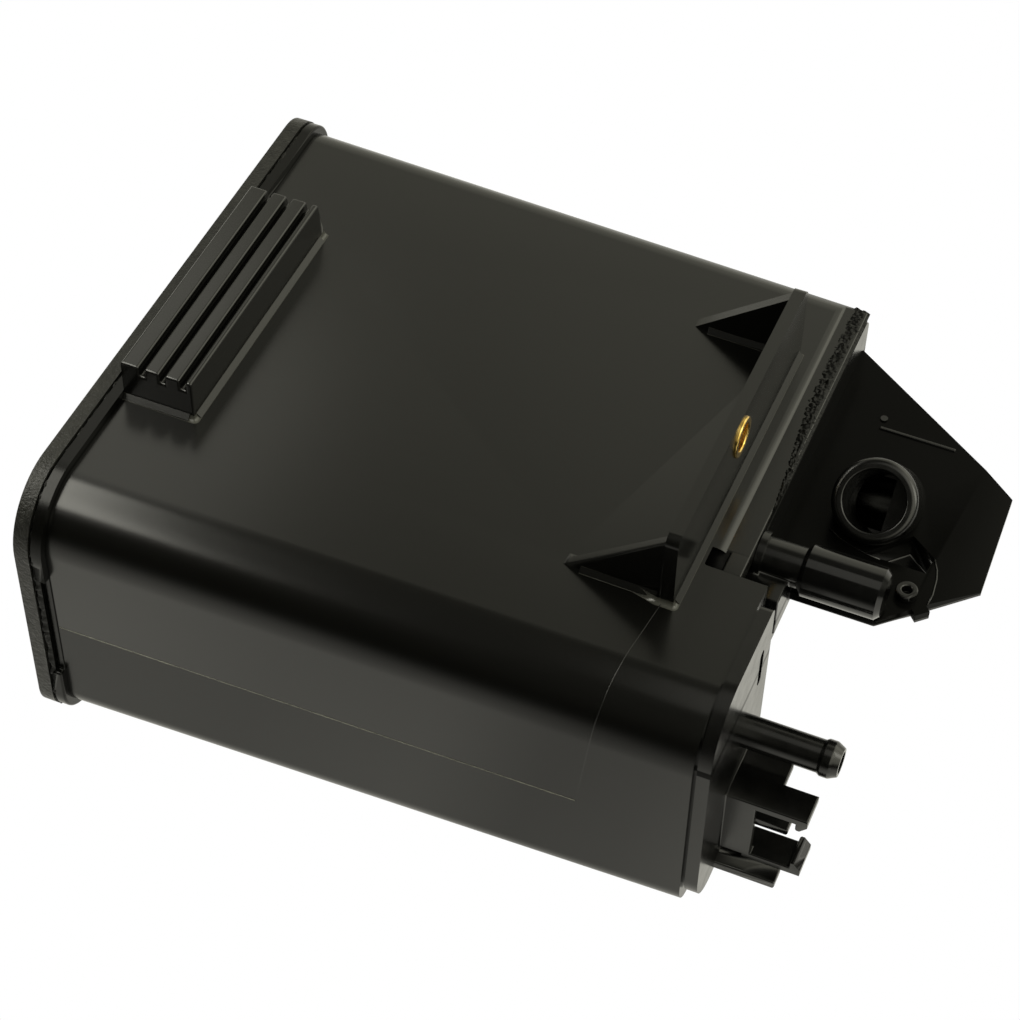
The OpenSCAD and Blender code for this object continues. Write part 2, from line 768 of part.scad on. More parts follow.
// Upright rib under the bracket
module bracket_rib(y, l) {
    translate([0, y + bracket_rib_t, 0])
        rotate([90, 0, 0])
            linear_extrude(bracket_rib_t)
                polygon([
                    [vent_face_x - sink, bracket_z - sink], [vent_face_x - sink, bracket_z - bracket_rib_h],
                    [vent_face_x + sink, bracket_z - bracket_rib_h], [vent_face_x + l, bracket_z - bracket_t],
                    [vent_face_x + l, bracket_z - sink - bracket_drop]
                ]);
}

// Upright wall beside the nozzle, from its own foot up to the nozzle's axis
module nozzle_wall() {
    y0 = step_y + nozzle_wall_in;
    z0 = bracket_z - bracket_t - wall;
    translate([vent_face_x - sink, y0, z0])
        cube([nozzle_wall_l + sink, bracket_y - y0 + nozzle_in, nozzle_z - z0]);
}

// Cap of the main chamber with bracket, vent port and side nozzle
module vent_cap() {
    boss_x = vent_face_x + boss_reach;
    boss_y = bracket_y + boss_in;
    color("#191918") place() difference() {
        union() {
            slab(vent_x, vent_face_x, vent_outline(0));
            slab(vent_x, vent_x + bead_t, vent_outline(bead_w));
            bracket_plate();
            bracket_rib(duct_y - vent_d / 2 - 2 * bracket_rib_t, bracket_nose);
            bracket_rib(duct_y + vent_d / 2 + bracket_rib_t, bracket_nose);
            nozzle_wall();
            bar_x(vent_face_x - sink, vent_face_x + nozzle_l, nozzle_y, nozzle_z, nozzle_d);
            bar_x(vent_face_x, vent_face_x + nozzle_root_l, nozzle_y, nozzle_z, nozzle_root_d);
            bar_x(vent_face_x - sink, vent_mouth[0] + duct_d / 2, duct_y, duct_z, duct_d);
            vent_collar();
            translate([boss_x, boss_y, bracket_z - sink]) cylinder(d = boss_d, h = boss_h + sink);
        }
        bar_x(vent_x - 1, vent_mouth[0], duct_y, duct_z, duct_bore);
        vent_bar(vent_bore, -1, vent_depth - 1);
        bar_x(vent_x - 1, vent_face_x + nozzle_l + 1, nozzle_y, nozzle_z, nozzle_bore);
        translate([boss_x, boss_y, bracket_z]) cylinder(d = pilot_d, h = boss_h + 1);
    }
}

// Brass bush for the mounting bolt
module mount_bush() {
    color("#c79a3a") place() difference() {
        bar_x(rail_x - bush_proud, rail_x + rail_t + bush_proud, bush_offset, bush_z, bush_d);
        bar_x(rail_x - bush_proud - 1, rail_x + rail_t + bush_proud + 1, bush_offset, bush_z, bolt_d);
    }
}

// Rubber cap over the side nozzle
module nozzle_cap() {
    end_x = vent_face_x + nozzle_l + fit_gap;
    cap_t = sleeve_d / 2 - nozzle_d / 2;
    tip = cap_t + fit_gap + nozzle_l;
    start = tip - sleeve_l;
    bore_r = nozzle_d / 2 + fit_gap / 2;
    color("#151516") place()
        translate([vent_face_x, nozzle_y, nozzle_z])
            rotate([0, 90, 0])
                rotate_extrude()
                    difference() {
                        polygon([
                            [0, start], [sleeve_d / 2 - sleeve_r, start], [sleeve_d / 2, start + sleeve_r],
                            [sleeve_d / 2, tip - sleeve_r], [sleeve_d / 2 - sleeve_r, tip], [0, tip]
                        ]);
                        translate([-1, start - 1]) square([bore_r + 1, end_x - vent_face_x - start + 1]);
                    }
}

// Carbon filling of the main chamber
module main_bed() {
    x1 = main_end_x - grid_t - filter_t;
    color("#2b2b2e") place() drafted(bed_x, x1, main_outline(bed_x, fit_gap), main_outline(x1, fit_gap));
}

// Carbon filling of the purge chamber
module purge_bed() {
    x1 = purge_end_x - grid_t - filter_t;
    color("#2b2b2e") place() drafted(bed_x, x1, purge_outline(bed_x, fit_gap), purge_outline(x1, fit_gap));
}

// Fleece filters, one on each end of each bed
module main_port_filter() {
    x1 = main_end_x - grid_t;
    color("#d9d5c8") place() slab(x1 - filter_t, x1, main_outline(x1, fit_gap));
}

module purge_port_filter() {
    x1 = purge_end_x - grid_t;
    color("#d9d5c8") place() slab(x1 - filter_t, x1, purge_outline(x1, fit_gap));
}

module main_cover_filter() {
    color("#d9d5c8") place() slab(filter_x, bed_x, main_outline(bed_x, fit_gap));
}

module purge_cover_filter() {
    color("#d9d5c8") place() slab(filter_x, bed_x, purge_outline(bed_x, fit_gap));
}

// Rows of places that fill a span at the hole pitch
function row(from, to) =
    let (n = floor((to - from) / hole_pitch), start = (from + to - (n - 1) * hole_pitch) / 2)
    [for (i = [0:n - 1]) start + i * hole_pitch];

// Square windows of a support grid
module grid_windows(x0, x1, y0, y1) {
    side = hole_pitch - grid_bar;
    for (y = row(y0, y1), z = row(floor_z(x1) + wall + edge_r / 2, roof_z(x1) - wall - edge_r / 2))
        translate([x0 - 1, y - side / 2, z - side / 2]) cube([x1 - x0 + 2, side, side]);
}

module main_grid() {
    x0 = main_end_x - grid_t;
    color("#33332f") place() difference() {
        slab(x0, main_end_x, main_outline(main_end_x, fit_gap));
        grid_windows(x0, main_end_x, step_y + grid_bar, half_w(main_end_x) - wall - grid_bar);
    }
}

module purge_grid() {
    x0 = purge_end_x - grid_t;
    color("#33332f") place() difference() {
        slab(x0, purge_end_x, purge_outline(purge_end_x, fit_gap));
        grid_windows(x0, purge_end_x, wall + grid_bar - half_w(purge_end_x), step_y - wall - grid_bar);
    }
}

// Round holes of a pressure plate
module plate_holes(y0, y1) {
    for (y = row(y0, y1), z = row(floor_z(plate_x) + wall + edge_r / 2, roof_z(plate_x) - wall - edge_r / 2))
        bar_x(plate_x - 1, filter_x + 1, y, z, plate_hole_d);
}

module main_plate() {
    color("#3a3a36") place() difference() {
        slab(plate_x, filter_x, main_outline(filter_x, fit_gap));
        plate_holes(step_y + grid_bar, half_w(filter_x) - wall - grid_bar);
    }
}

module purge_plate() {
    color("#3a3a36") place() difference() {
        slab(plate_x, filter_x, purge_outline(filter_x, fit_gap));
        plate_holes(wall + grid_bar - half_w(filter_x), step_y - wall - grid_bar);
    }
}

// Coil spring between the cover and a pressure plate
module spring(y) {
    color("#b9bcc0") place()
        translate([weld_x, y, spring_z])
            polyhedron(points = coil_points(plate_x - weld_x), faces = coil_faces());
}

module main_spring_front() {
    spring(main_spring_y[0]);
}

module main_spring_back() {
    spring(main_spring_y[1]);
}

module purge_spring() {
    spring(purge_mid_y);
}

housing();
end_cover();
purge_cap();
vent_cap();
mount_bush();
nozzle_cap();
main_bed();
purge_bed();
main_port_filter();
purge_port_filter();
main_cover_filter();
purge_cover_filter();
main_grid();
purge_grid();
main_plate();
purge_plate();
main_spring_front();
main_spring_back();
purge_spring();
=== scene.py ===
import math

import bmesh
import bpy
from mathutils import Matrix, Vector, noise
from mathutils.bvhtree import BVHTree


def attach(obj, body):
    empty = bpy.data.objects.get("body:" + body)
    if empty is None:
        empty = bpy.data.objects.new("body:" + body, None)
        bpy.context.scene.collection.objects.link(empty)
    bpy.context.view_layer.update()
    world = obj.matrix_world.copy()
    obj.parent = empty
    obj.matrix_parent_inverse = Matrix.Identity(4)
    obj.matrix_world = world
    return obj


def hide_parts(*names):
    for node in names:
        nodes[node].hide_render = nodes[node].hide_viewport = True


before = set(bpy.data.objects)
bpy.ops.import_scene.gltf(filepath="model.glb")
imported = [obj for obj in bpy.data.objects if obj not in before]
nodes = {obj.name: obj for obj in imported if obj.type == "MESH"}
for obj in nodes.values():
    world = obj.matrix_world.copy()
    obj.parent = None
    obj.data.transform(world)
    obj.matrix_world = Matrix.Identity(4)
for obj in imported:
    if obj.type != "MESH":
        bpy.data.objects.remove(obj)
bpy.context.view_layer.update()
scene = bpy.context.scene
print("frame loaded", len(nodes))

mm = 0.001
shift = 126.0  # the cover face lies this far from the origin along X, in mm

# lengths in mm; x is measured from the cover face, except where a note says otherwise
housing = {"bodyW": 181.5, "bodyH": 89.0, "lip": 2.8, "draft": 1.1, "frontR": 18.5, "edgeR": 10.0,
           "bevel": 0.8, "spareZ": 93.2}
cover = {"weldX": 5.4, "bevel": 0.8}
purge = {"bevel": 0.5}
vent = {"ventX": 187.0, "inset": 3.8, "front": 9.2, "cornerR": 4.0, "frontR": 12.0, "stepY": -31.25,
        "bevel": 0.5, "tab": (113.0, -9.8, 71.0), "tabReach": 6.0}  # tab is measured from the origin
bush = {"bevel": 0.5, "backX": 49.1, "seat": (51.1, 2.2, 105.4), "seatReach": 8.0}  # from the origin
pad = {"x0": 8.6, "x1": 31.0, "y0": -41.2, "y1": 43.8, "fillet": 1.4}
rail = {"x0": 174.3, "x1": 179.0, "y0": -48.6, "y1": 56.4, "fillet": 1.4, "gussetX": 151.5,
        "gussetY0": -46.9, "gussetY1": 54.0, "blend": 7.0, "cornerZ": 100.5,
        "cornerReach": 3.5, "cornerShare": 0.15}
sleeve = {"bevel": 0.5}
seam = {"z": 42.8, "x0": 9.0, "x1": 168.0, "xTop": 176.0, "topY": -46.0, "r": 0.16, "step": 1.5, "rough": 0.5}
coverFlash = {"x0": 4.2, "x1": 6.4, "grow": 2.1, "height": 1.1, "fine": 0.5, "step": 0.8, "pitch": 0.55}
ventFlash = {"x0": 187.2, "x1": 191.8, "grow": 0.2, "height": 1.1, "fine": 0.5, "step": 0.6, "pitch": 0.8}
shoulder = {"x0": 184.6, "x1": 192.3, "y0": -31.2, "y1": 82.0, "z0": 82.5, "z1": 87.45, "bevel": 0.7,
            "pocketX": 186.4, "pocketY": -23.6, "lap": 1.0}
crumbs = {"x0": 186.9, "y0": -4.0, "height": 1.1, "pitch": 1.1, "rows": 220, "columns": 14, "spread": 110}
# extent of the painted-shade box set in the pocket
pocket = {"x0": 181.55, "y0": -31.2, "y1": -23.4, "z0": 85.5, "z1": 87.4}
plateLines = {"z": 72.3, "r": 0.35,
              "collar": [(206.1, 8.6), (210.0, 6.7), (214.8, 5.0), (218.5, 4.1), (222.6, 3.6)],
              "boss": [(236.8, 9.8), (238.5, 6.2), (239.4, 2.8), (240.0, -3.0), (239.7, -7.0)]}
rounding = {"join": 0.002, "flat": 0.3, "sharp": 24.0, "segments": 3,
            "across": 0.42, "corner": 0.45, "side": 0.8}
mend = {"tries": 6, "sparing": 3, "reach": 1.2, "tiny": 0.002, "turned": -0.5}

taper = math.tan(math.radians(housing["draft"]))
plainLevel = 0.5  # reflection level of plain plastic


def linearColor(hexText):
    parts = [int(hexText[i:i + 2], 16) / 255 for i in (1, 3, 5)]
    return [c / 12.92 if c <= 0.04045 else ((c + 0.055) / 1.055) ** 2.4 for c in parts] + [1.0]


def addNode(tree, kind, inputs=None, **settings):
    node = tree.nodes.new(kind)
    for key, value in settings.items():
        setattr(node, key, value)
    for key, value in (inputs or {}).items():
        if isinstance(value, bpy.types.NodeSocket):
            tree.links.new(value, node.inputs[key])
        else:
            node.inputs[key].default_value = value
    return node


def ranged(tree, value, low, high, start, end, blend="LINEAR"):
    inputs = {0: value, 1: low, 2: high, 3: start, 4: end}
    return addNode(tree, "ShaderNodeMapRange", inputs, interpolation_type=blend).outputs[0]


def combined(tree, operation, *values):
    return addNode(tree, "ShaderNodeMath", dict(enumerate(values)), operation=operation).outputs[0]


def noiseAt(tree, place, scale, detail):
    return addNode(tree, "ShaderNodeTexNoise", {"Vector": place, "Scale": scale, "Detail": detail}).outputs[0]


def toned(tree, factor, dark, light):
    inputs = {0: factor, 6: linearColor(dark), 7: linearColor(light)}
    return addNode(tree, "ShaderNodeMix", inputs, data_type="RGBA").outputs[2]


def newMaterial(name):
    material = bpy.data.materials.new(name)
    material.use_nodes = True
    tree = material.node_tree
    tree.nodes.clear()
    shader = addNode(tree, "ShaderNodeBsdfPrincipled")
    addNode(tree, "ShaderNodeOutputMaterial", {0: shader.outputs[0]})
    place = addNode(tree, "ShaderNodeTexCoord").outputs["Object"]
    return material, tree, shader, place


def plateLevel(tree, place, look):
    # the flat of the bracket plate reflects less than the rest
    height = addNode(tree, "ShaderNodeSeparateXYZ", {0: place}).outputs[2]
    top, bottom = look["flatZ"] + 0.1, look["flatZ"] - 2.2
    rest = plainLevel - look["flatLevel"]
    above = ranged(tree, height, top * mm, (top + 0.1) * mm, 0.0, rest)
    below = ranged(tree, height, bottom * mm, (bottom + 0.1) * mm, rest, 0.0)
    return combined(tree, "ADD", combined(tree, "ADD", above, below), look["flatLevel"])


def mouldLevel(tree, place, look):
    # the lower mould half reflects less on the front face, least at the cover end
    spot = addNode(tree, "ShaderNodeSeparateXYZ", {0: place}).outputs
    below = ranged(tree, spot[2], (look["parting"] - 0.2) * mm, look["parting"] * mm, 1.0, 0.0)
    front = ranged(tree, spot[1], look["frontY0"] * mm, look["frontY1"] * mm, 1.0, 0.0)
    fading = ranged(tree, spot[0], look["fadeX0"] * mm, look["fadeX1"] * mm, look["duller"], 0.0)
    drop = combined(tree, "MULTIPLY", combined(tree, "MULTIPLY", below, front), fading)
    # so does the rim at the cover
    rimX = look["rim"] - shift
    rim = ranged(tree, spot[0], (rimX - 0.2) * mm, rimX * mm, look["rimDrop"], 0.0)
    return combined(tree, "SUBTRACT", plainLevel, combined(tree, "MAXIMUM", drop, rim))


def plastic(name, look):
    material, tree, shader, place = newMaterial(name)
    # flow streaks are stretched along X, grain is even
    scale = (look["streakX"], look["streakY"], look["streakY"])
    stretched = addNode(tree, "ShaderNodeMapping", {0: place, 3: scale}).outputs[0]
    streak = noiseAt(tree, stretched, 1.0, 4.0)
    grain = noiseAt(tree, place, look["grain"], 3.0)
    cloud = noiseAt(tree, place, look["cloud"], 3.0)
    tone = toned(tree, cloud, look["dark"], look["light"])
    worn = ranged(tree, streak, 0.3, 0.7, look["rough0"], look["rough1"])
    height = combined(tree, "MULTIPLY_ADD", streak, look["streak"], grain)
    relief = {"Height": height, "Strength": look["bump"], "Distance": look["depth"] * mm}
    bump = addNode(tree, "ShaderNodeBump", relief).outputs[0]
    for socket, value in (("Base Color", tone), ("Roughness", worn), ("Normal", bump)):
        tree.links.new(value, shader.inputs[socket])
    shader.inputs["IOR"].default_value = 1.5
    level = shader.inputs["Specular IOR Level"]
    if "level" in look:
        level.default_value = look["level"]
    if "flatZ" in look:
        tree.links.new(plateLevel(tree, place, look), level)
    if "parting" in look:
        tree.links.new(mouldLevel(tree, place, look), level)
    return material


def metal(name, look):
    material, tree, shader, place = newMaterial(name)
    rings = noiseAt(tree, place, look["grain"], 4.0)
    tree.links.new(toned(tree, rings, look["dark"], look["light"]), shader.inputs["Base Color"])
    worn = ranged(tree, rings, 0.0, 1.0, look["rough0"], look["rough1"])
    tree.links.new(worn, shader.inputs["Roughness"])
    shader.inputs["Metallic"].default_value = 1.0
    return material


mouldedNylon = plastic("mouldedNylon", {
    "dark": "#050504", "light": "#080807", "streakX": 40.0, "streakY": 1800.0, "streak": 0.25,
    "grain": 2500.0, "cloud": 30.0, "rough0": 0.22, "rough1": 0.235, "bump": 0.3, "depth": 0.03,
    "parting": 42.8, "frontY0": -83.0, "frontY1": -78.0, "fadeX0": -110.0, "fadeX1": 30.0, "duller": 0.22,
    "rim": 9.0, "rimDrop": 0.32})
coverNylon = plastic("coverNylon", {
    "dark": "#060606", "light": "#252522", "streakX": 700.0, "streakY": 700.0, "streak": 1.0,
    "grain": 1300.0, "cloud": 350.0, "rough0": 0.28, "rough1": 0.5, "bump": 0.8, "depth": 0.3, "level": 0.28})
# painted highlight: fillet strips get a much lighter grey than the body, so light lines show at the feet of
# walls
paintedHighlightNylon = plastic("paintedHighlightNylon", {
    "dark": "#2c2c29", "light": "#40403b", "streakX": 300.0, "streakY": 300.0, "streak": 1.0,
    "grain": 1500.0, "cloud": 60.0, "rough0": 0.24, "rough1": 0.28, "bump": 0.04, "depth": 0.03})
capNylon = plastic("capNylon", {
    "dark": "#050504", "light": "#080808", "streakX": 200.0, "streakY": 200.0, "streak": 1.0,
    "grain": 1500.0, "cloud": 60.0, "rough0": 0.2, "rough1": 0.27, "bump": 0.04, "depth": 0.03,
    "flatZ": plateLines["z"], "flatLevel": 0.05})
weldFlash = plastic("weldFlash", {
    "dark": "#060606", "light": "#11110f", "streakX": 600.0, "streakY": 600.0, "streak": 1.0,
    "grain": 1200.0, "cloud": 200.0, "rough0": 0.22, "rough1": 0.42, "bump": 0.5, "depth": 0.3,
    "level": 0.15})
# painted highlight: the seam bead on the front face is pale grey so that it shows as a light line
paintedHighlightSeamNylon = plastic("paintedHighlightSeamNylon", {
    "dark": "#4a4a44", "light": "#8a8a80", "streakX": 300.0, "streakY": 300.0, "streak": 1.0,
    "grain": 1500.0, "cloud": 100.0, "rough0": 0.35, "rough1": 0.45, "bump": 0.05, "depth": 0.03})
glossRubber = plastic("glossRubber", {
    "dark": "#070707", "light": "#0c0c0c", "streakX": 300.0, "streakY": 300.0, "streak": 1.0,
    "grain": 1200.0, "cloud": 80.0, "rough0": 0.1, "rough1": 0.16, "bump": 0.04, "depth": 0.04})
# painted shade: near-black matte nylon for the box that darkens the pocket
paintedShadeNylon = plastic("paintedShadeNylon", {
    "dark": "#020202", "light": "#040404", "streakX": 300.0, "streakY": 300.0, "streak": 1.0,
    "grain": 1500.0, "cloud": 100.0, "rough0": 0.5, "rough1": 0.6, "bump": 0.1, "depth": 0.05, "level": 0.05})
brass = metal("brass", {"dark": "#c99a35", "light": "#f5d98a", "grain": 400.0, "rough0": 0.14, "rough1": 0.3})
print("materials made")


def faceWidth(edge, face):
    # distance across a face, straight in from the middle of one edge
    start, end = edge.verts[0].co, edge.verts[1].co
    along = (end - start).normalized()
    middle = (start + end) / 2
    inward = face.normal.cross(along)
    if (face.calc_center_median() - middle).dot(inward) < 0:
        inward = -inward
    nearest = 1.0
    for other in face.edges:
        if other is edge:
            continue
        a = other.verts[0].co - middle
        b = other.verts[1].co - middle
        ax, bx = a.dot(along), b.dot(along)
        if ax * bx > 0 or ax == bx:
            continue
        depth = a.dot(inward) + (b.dot(inward) - a.dot(inward)) * ax / (ax - bx)
        if depth > 1e-6:
            nearest = min(nearest, depth)
    return nearest


def roomFor(edge, sharp, bevel):
    # the largest bevel that the faces and edges round this edge leave room for
    room = min([bevel] + [rounding["across"] * faceWidth(edge, face) for face in edge.link_faces])
    for face in edge.link_faces:
        for vert in edge.verts:
            other = next(e for e in face.edges if e is not edge and vert in e.verts)
            here = edge.other_vert(vert).co - vert.co
            there = other.other_vert(vert).co - vert.co
            angle = here.angle(there, 1.5)
            if other in sharp:
                shorter = min(here.length, there.length)
                room = min(room, rounding["corner"] * shorter * math.tan(min(angle, 3.1) / 2))
            else:
                room = min(room, rounding["side"] * there.length * max(math.sin(angle), 0.02))
    return room


def strayCorners(piece, surface, bevel):
    # corners of the rounded triangles that leave the CAD surface or turn over
    bpy.context.view_layer.update()
    shape = piece.evaluated_get(bpy.context.evaluated_depsgraph_get())
    mesh = shape.to_mesh()
    mesh.calc_loop_triangles()
    stray = []
    for triangle in mesh.loop_triangles:
        if triangle.area < mend["tiny"] * mm * mm:
            continue
        corners = [mesh.vertices[i].co.copy() for i in triangle.vertices]
        normal, distance = surface.find_nearest(sum(corners, Vector()) / 3)[1::2]
        if distance > bevel * mm or normal.dot(triangle.normal) < mend["turned"]:
            stray += corners
    shape.to_mesh_clear()
    return stray


def wholeLoops(mesh, weights, struck):
    # the edges that carry on a struck edge's bevel, up to the next corner
    meets = {}
    for edge in mesh.edges:
        if weights[edge.index].value > 0:
            for corner in edge.vertices:
                meets.setdefault(corner, []).append(edge.index)
    waiting = list(struck)
    while waiting:
        for corner in mesh.edges[waiting.pop()].vertices:
            if len(meets[corner]) == 2:
                more = [index for index in meets[corner] if index not in struck]
                struck.update(more)
                waiting += more
    return struck


def mended(name, piece, surface, bevel):
    # a bevel that makes stray triangles is left out along its whole edge loop, on the rail and pad last
    mesh = piece.data
    for tries in range(mend["tries"]):
        stray = strayCorners(piece, surface, bevel)
        print(name, "stray corners", len(stray))
        if not stray:
            return
        weights = mesh.attributes["bevel_weight_edge"].data
        struck = set()
        for edge in mesh.edges:
            ends = [mesh.vertices[i].co for i in edge.vertices]
            if tries < mend["sparing"] and min(end.z for end in ends) > housing["spareZ"] * mm:
                continue
            if weights[edge.index].value == 0:
                continue
            if any((end - at).length < mend["reach"] * mm for end in ends for at in stray):
                struck.add(edge.index)
        for index in wholeLoops(mesh, weights, struck):
            weights[index].value = 0.0
            mesh.edges[index].use_edge_sharp = True
        mesh.update()


def dressed(name, bevel, material, plain=()):
    # plain holds places in mm, each with a radius and the share of the bevel that its edges get
    source = nodes[name]
    mesh = source.data.copy()
    mesh.materials.clear()
    mesh.materials.append(material)
    piece = bpy.data.objects.new(name + "Dressed", mesh)
    scene.collection.objects.link(piece)
    bm = bmesh.new()
    bm.from_mesh(mesh)
    bmesh.ops.remove_doubles(bm, verts=bm.verts, dist=rounding["join"] * mm)
    bmesh.ops.dissolve_limit(bm, angle_limit=math.radians(rounding["flat"]), verts=bm.verts, edges=bm.edges)
    weight = bm.edges.layers.float.new("bevel_weight_edge")
    least = math.radians(rounding["sharp"])
    sharp = {e for e in bm.edges if len(e.link_faces) == 2 and e.calc_face_angle(0.0) > least}
    for edge in sharp:
        middle = (edge.verts[0].co + edge.verts[1].co) / (2 * mm)
        share = min([1.0] + [part for at, reach, part in plain if (middle - Vector(at)).length < reach])
        edge[weight] = share * roomFor(edge, sharp, bevel * mm) / (bevel * mm)
        edge.smooth = edge[weight] > 0
    for face in bm.faces:
        face.smooth = True
        face.material_index = 0
    bm.to_mesh(mesh)
    bm.free()
    rounded = piece.modifiers.new("rounded", "BEVEL")
    rounded.limit_method = "WEIGHT"
    rounded.width = bevel * mm
    rounded.segments = rounding["segments"]
    rounded.profile = 0.5
    rounded.use_clamp_overlap = False
    spots = [vert.co for vert in source.data.vertices]
    surface = BVHTree.FromPolygons(spots, [list(face.vertices) for face in source.data.polygons])
    mended(name, piece, surface, bevel)
    even = piece.modifiers.new("even", "WEIGHTED_NORMAL")
    even.keep_sharp = True
    even.weight = 100
    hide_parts(name)
    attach(piece, "root")
    return piece


railCorner = (rail["x0"] - shift, rail["y0"], rail["cornerZ"])
dressed("housing", housing["bevel"], mouldedNylon,
        [(railCorner, rail["cornerReach"], rail["cornerShare"]), (bush["seat"], bush["seatReach"], 0.0)])
dressed("end_cover", cover["bevel"], coverNylon)
dressed("purge_cap", purge["bevel"], capNylon)
dressed("vent_cap", vent["bevel"], capNylon, [(vent["tab"], vent["tabReach"], 0.0)])
ring = dressed("mount_bush", bush["bevel"], brass)
for vert in ring.data.vertices:
    vert.co.x = max(vert.co.x, bush["backX"] * mm)  # almost flush at the back
dressed("nozzle_cap", sleeve["bevel"], glossRubber)
print("pieces dressed")


def halfW(x):
    return housing["bodyW"] / 2 - taper * x


def floorZ(x):
    return housing["lip"] + taper * x


def roofZ(x):
    return housing["lip"] + housing["bodyH"] - taper * x


def placed(x, y, z):
    return Vector((x - shift, y, z)) * mm


def roundedLoop(y0, y1, z0, z1, radii, step):
    corners = [(y0, z0, 1, 1, 180), (y1, z0, -1, 1, 270), (y1, z1, -1, -1, 0), (y0, z1, 1, -1, 90)]
    points = []
    for (y, z, sy, sz, start), r in zip(corners, radii):
        for i in range(9):
            a = math.radians(start + 90 * i / 8)
            points.append((y + sy * r + r * math.cos(a), z + sz * r + r * math.sin(a)))
    even = []
    for (ya, za), (yb, zb) in zip(points, points[1:] + points[:1]):
        count = max(1, round(math.hypot(yb - ya, zb - za) / step))
        even += [(ya + (yb - ya) * i / count, za + (zb - za) * i / count) for i in range(count)]
    return even


def bodyLoop(x, grow, step):
    radii = [r + grow for r in (housing["edgeR"], housing["edgeR"], housing["edgeR"], housing["frontR"])]
    return roundedLoop(-halfW(x) - grow, halfW(x) + grow, floorZ(x) - grow, roofZ(x) + grow, radii, step)


def coverLoop(grow, step):
    return bodyLoop(cover["weldX"], grow, step)


def ventLoop(grow, step):
    x = vent["ventX"]
    inset = vent["inset"] - grow
    radii = [r + grow for r in (vent["cornerR"], vent["cornerR"], vent["cornerR"], vent["frontR"])]
    front = vent["stepY"] + vent["front"] - grow
    return roundedLoop(front, halfW(x) - inset, floorZ(x) + inset, roofZ(x) - inset, radii, step)


def finished(name, bm, material, upward=False):
    bmesh.ops.recalc_face_normals(bm, faces=bm.faces)
    if upward and sum(face.normal.z for face in bm.faces) < 0:
        bmesh.ops.reverse_faces(bm, faces=bm.faces)
    for face in bm.faces:
        face.smooth = True
    mesh = bpy.data.meshes.new(name)
    bm.to_mesh(mesh)
    bm.free()
    mesh.materials.append(material)
    piece = bpy.data.objects.new(name, mesh)
    scene.collection.objects.link(piece)
    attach(piece, "root")
    return piece


def tube(name, path, radius, rough, material, sides=6):
    # a bead along an open path in mm, with an uneven radius where rough is above zero
    bm = bmesh.new()
    rings = []
    last = len(path) - 1
    for i, point in enumerate(path):
        along = (path[min(i + 1, last)] - path[max(i - 1, 0)]).normalized()
        side = along.cross(Vector((1, 0, 0)) if abs(along.x) < 0.9 else Vector((0, 0, 1))).normalized()
        other = along.cross(side)
        ring = []
        for j in range(sides):
            a = 2 * math.pi * j / sides
            out = side * math.cos(a) + other * math.sin(a)
            wave = noise.noise((point + out * radius) * 0.55) + noise.noise((point + out) * 1.7)
            ring.append(bm.verts.new(placed(*(point + out * radius * (1 + rough * wave)))))
        rings.append(ring)
    for ringA, ringB in zip(rings, rings[1:]):
        for j in range(sides):
            k = (j + 1) % sides
            bm.faces.new((ringA[j], ringB[j], ringB[k], ringA[k]))
    bm.faces.new(rings[0])
    bm.faces.new(list(reversed(rings[-1])))
    finished(name, bm, material)


def crumbBand(name, look, loopAt, material):
    # rough flash: a band round a loop, pushed in and out by noise so that crumbs stand out of the joint
    bm = bmesh.new()
    loop = loopAt(look["grow"], look["step"])
    count = len(loop)
    rows = max(3, round((look["x1"] - look["x0"]) / look["fine"]))
    grid = []
    for i, (y, z) in enumerate(loop):
        ya, za = loop[i - 1]
        yb, zb = loop[(i + 1) % count]
        out = Vector((0, zb - za, ya - yb)).normalized()
        line = []
        for j in range(rows + 1):
            point = Vector((look["x0"] + (look["x1"] - look["x0"]) * j / rows, y, z))
            lump = noise.fractal(point * look["pitch"], 0.8, 2.1, 4)
            edge = min(1.0, 2.5 * min(j, rows - j) / rows)
            rise = look["height"] * (lump + 0.15) * edge - 0.5 * (1 - edge)
            line.append(bm.verts.new(placed(*(point + out * rise))))
        grid.append(line)
    for lineA, lineB in zip(grid, grid[1:] + grid[:1]):
        for j in range(rows):
            bm.faces.new((lineA[j], lineB[j], lineB[j + 1], lineA[j + 1]))
    finished(name, bm, material)


def fillet(name, path, r):
    # hollow fillet on the top face at the foot of upright walls, path goes round with the walls on its left;
    # its pale grey is a painted highlight
    ways = [Vector((b[1] - a[1], a[0] - b[0], 0)).normalized() for a, b in zip(path, path[1:])]
    stations = []
    for i, (start, end) in enumerate(zip(path, path[1:])):
        stations += [(start, ways[i]), (end, ways[i])]
        if i + 1 < len(ways):
            stations += [(end, ways[i].slerp(ways[i + 1], j / 8)) for j in range(1, 8)]
    bm = bmesh.new()
    rows = []
    for i in range(11):
        a = math.radians(-6 + 102 * i / 10)  # a little past the quarter turn at both ends
        out, rise = r - r * math.sin(a), r - r * math.cos(a)
        row = []
        for (x, y), way in stations:
            outX = x + way.x * out
            row.append(bm.verts.new(placed(outX, y + way.y * out, roofZ(outX) + rise)))
        rows.append(row)
    for rowA, rowB in zip(rows, rows[1:]):
        for j in range(len(stations) - 1):
            bm.faces.new((rowA[j], rowA[j + 1], rowB[j + 1], rowB[j]))
    finished(name, bm, paintedHighlightNylon, upward=True)


def block(xs, ys, zs):
    bm = bmesh.new()
    bmesh.ops.create_cube(bm, size=1.0)
    for vert in bm.verts:
        vert.co = placed(xs[vert.co.x > 0], ys[vert.co.y > 0], zs[vert.co.z > 0])
    return bm


